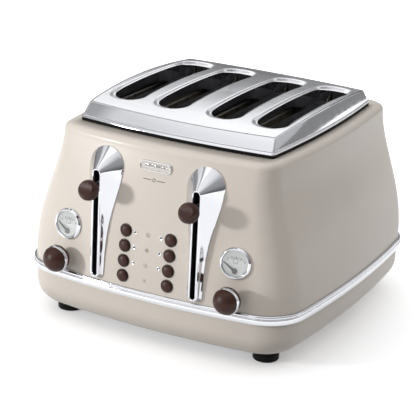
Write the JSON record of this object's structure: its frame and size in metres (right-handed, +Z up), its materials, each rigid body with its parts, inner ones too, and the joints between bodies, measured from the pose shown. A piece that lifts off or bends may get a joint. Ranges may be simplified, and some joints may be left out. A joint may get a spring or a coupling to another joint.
{
  "type": "pop up toaster",
  "caption": "Pop up toaster with paired bread slots, sliding levers, browning dials with gauges, push buttons and crumb trays.",
  "frame": {"origin": "middle of the footprint box, knobs included, on the surface the feet stand on", "axes": "+X to the viewer's right when facing the controls, -Y out of the control face, +Z up"},
  "size_m": [0.29, 0.3273, 0.2071],
  "materials": {
    "painted_body": "gloss",
    "polished_chrome": "polished",
    "bare_steel": "satin",
    "brown_plastic": "gloss",
    "black_rubber": "matt",
    "black_plastic": "satin",
    "mica": "satin",
    "heating_alloy": "dull",
    "dial_face": "satin",
    "needle_paint": "matt",
    "lens_glass": "polished",
    "lamp_lens": "gloss",
    "circuit_board": "satin"
  },
  "bodies": {
    "housing": {"upper_shell": "painted_body", "base_shell": "painted_body", "trim_band": "polished_chrome", "top_cover": "polished_chrome", "badge": "polished_chrome", "lever_escutcheon_left": "polished_chrome", "gauge_bezel_left": "polished_chrome", "gauge_dial_left": "dial_face", "gauge_lens_left": "lens_glass", "lever_escutcheon_right": "polished_chrome", "gauge_bezel_right": "polished_chrome", "gauge_dial_right": "dial_face", "gauge_lens_right": "lens_glass", "top_seal": "black_rubber", "foot_front_left": "black_rubber", "foot_front_right": "black_rubber", "foot_rear_left": "black_rubber", "foot_rear_right": "black_rubber", "slot_liners": "bare_steel", "base_plate": "bare_steel", "base_screws": "bare_steel", "guide_rods": "bare_steel", "latch_magnets": "bare_steel", "front_bulkhead": "bare_steel", "rear_bulkhead": "bare_steel", "heat_shields": "bare_steel", "heater_cards": "mica", "heater_wires": "heating_alloy", "button_bezels": "black_plastic", "cord_gland": "black_plastic", "indicator_lights": "lamp_lens", "control_board": "circuit_board"},
    "lever_left": {"carriage_left": "bare_steel", "bread_rack_left": "bare_steel", "lever_knob_left": "brown_plastic", "lift_spring_left": "bare_steel"},
    "bread_guide_left_outer": {"bread_guide_left_outer": "bare_steel"},
    "bread_guide_left_inner": {"bread_guide_left_inner": "bare_steel"},
    "browning_dial_left": {"browning_knob_left": "brown_plastic", "knob_ring_left": "polished_chrome"},
    "needle_left": {"gauge_needle_left": "needle_paint"},
    "push_left_1": {"button_left_1": "brown_plastic"},
    "push_left_2": {"button_left_2": "brown_plastic"},
    "push_left_3": {"button_left_3": "brown_plastic"},
    "push_left_4": {"button_left_4": "brown_plastic"},
    "tray_left": {"crumb_tray_left": "bare_steel"},
    "lever_right": {"carriage_right": "bare_steel", "bread_rack_right": "bare_steel", "lever_knob_right": "brown_plastic", "lift_spring_right": "bare_steel"},
    "bread_guide_right_outer": {"bread_guide_right_outer": "bare_steel"},
    "bread_guide_right_inner": {"bread_guide_right_inner": "bare_steel"},
    "browning_dial_right": {"browning_knob_right": "brown_plastic", "knob_ring_right": "polished_chrome"},
    "needle_right": {"gauge_needle_right": "needle_paint"},
    "push_right_1": {"button_right_1": "brown_plastic"},
    "push_right_2": {"button_right_2": "brown_plastic"},
    "push_right_3": {"button_right_3": "brown_plastic"},
    "push_right_4": {"button_right_4": "brown_plastic"},
    "tray_right": {"crumb_tray_right": "bare_steel"}
  },
  "joints": [
    {"name": "lever_left_slide", "type": "slide", "parent": "housing", "child": "lever_left", "axis": [0, 0, 1], "range_m": [-0.075, 0.009], "stiffness_N_per_m": 60, "springref_m": 0.035, "deforming": ["lift_spring_left"]},
    {"name": "bread_guide_left_outer_slide", "type": "slide", "parent": "housing", "child": "bread_guide_left_outer", "axis": [1, 0, 0], "range_m": [-0.0009, 0.0071]},
    {"name": "bread_guide_left_inner_slide", "type": "slide", "parent": "housing", "child": "bread_guide_left_inner", "axis": [-1, 0, 0], "range_m": [-0.0009, 0.0071]},
    {"name": "browning_left_turn", "type": "hinge", "parent": "housing", "child": "browning_dial_left", "pos_m": [-0.0874, -0.13248, 0.0694], "axis": [0, 1, 0], "range_deg": [0, 270]},
    {"name": "needle_left_turn", "type": "hinge", "parent": "housing", "child": "needle_left", "pos_m": [-0.08559, -0.1309, 0.09184], "axis": [0.1214, 0.9864, -0.1105], "range_deg": [0, 100]},
    {"name": "button_left_1_press", "type": "slide", "parent": "housing", "child": "push_left_1", "axis": [0.0325, 0.998, -0.0537], "range_m": [0, 0.002], "stiffness_N_per_m": 400, "springref_m": -0.001},
    {"name": "button_left_2_press", "type": "slide", "parent": "housing", "child": "push_left_2", "axis": [0.0325, 0.9963, -0.0797], "range_m": [0, 0.002], "stiffness_N_per_m": 400, "springref_m": -0.001},
    {"name": "button_left_3_press", "type": "slide", "parent": "housing", "child": "push_left_3", "axis": [0.0324, 0.9942, -0.1023], "range_m": [0, 0.002], "stiffness_N_per_m": 400, "springref_m": -0.001},
    {"name": "button_left_4_press", "type": "slide", "parent": "housing", "child": "push_left_4", "axis": [0.0323, 0.9919, -0.1227], "range_m": [0, 0.002], "stiffness_N_per_m": 400, "springref_m": -0.001},
    {"name": "crumb_tray_left_slide", "type": "slide", "parent": "housing", "child": "tray_left", "axis": [0, 1, 0], "range_m": [0, 0.25]},
    {"name": "lever_right_slide", "type": "slide", "parent": "housing", "child": "lever_right", "axis": [0, 0, 1], "range_m": [-0.075, 0.009], "stiffness_N_per_m": 60, "springref_m": 0.035, "deforming": ["lift_spring_right"]},
    {"name": "bread_guide_right_outer_slide", "type": "slide", "parent": "housing", "child": "bread_guide_right_outer", "axis": [-1, 0, 0], "range_m": [-0.0009, 0.0071]},
    {"name": "bread_guide_right_inner_slide", "type": "slide", "parent": "housing", "child": "bread_guide_right_inner", "axis": [1, 0, 0], "range_m": [-0.0009, 0.0071]},
    {"name": "browning_right_turn", "type": "hinge", "parent": "housing", "child": "browning_dial_right", "pos_m": [0.0874, -0.13248, 0.0694], "axis": [0, 1, 0], "range_deg": [0, 270]},
    {"name": "needle_right_turn", "type": "hinge", "parent": "housing", "child": "needle_right", "pos_m": [0.08559, -0.1309, 0.09184], "axis": [-0.1214, 0.9864, -0.1105], "range_deg": [0, 100]},
    {"name": "button_right_1_press", "type": "slide", "parent": "housing", "child": "push_right_1", "axis": [-0.0325, 0.998, -0.0537], "range_m": [0, 0.002], "stiffness_N_per_m": 400, "springref_m": -0.001},
    {"name": "button_right_2_press", "type": "slide", "parent": "housing", "child": "push_right_2", "axis": [-0.0325, 0.9963, -0.0797], "range_m": [0, 0.002], "stiffness_N_per_m": 400, "springref_m": -0.001},
    {"name": "button_right_3_press", "type": "slide", "parent": "housing", "child": "push_right_3", "axis": [-0.0324, 0.9942, -0.1023], "range_m": [0, 0.002], "stiffness_N_per_m": 400, "springref_m": -0.001},
    {"name": "button_right_4_press", "type": "slide", "parent": "housing", "child": "push_right_4", "axis": [-0.0323, 0.9919, -0.1227], "range_m": [0, 0.002], "stiffness_N_per_m": 400, "springref_m": -0.001},
    {"name": "crumb_tray_right_slide", "type": "slide", "parent": "housing", "child": "tray_right", "axis": [0, 1, 0], "range_m": [0, 0.25]}
  ],
  "couplings": [
    {"joint": "bread_guide_left_outer_slide", "follows": "lever_left_slide", "ratio": -0.0933},
    {"joint": "bread_guide_left_inner_slide", "follows": "lever_left_slide", "ratio": -0.0933},
    {"joint": "needle_left_turn", "follows": "browning_left_turn", "ratio": 0.37},
    {"joint": "bread_guide_right_outer_slide", "follows": "lever_right_slide", "ratio": -0.0933},
    {"joint": "bread_guide_right_inner_slide", "follows": "lever_right_slide", "ratio": -0.0933},
    {"joint": "needle_right_turn", "follows": "browning_right_turn", "ratio": 0.37}
  ]
}
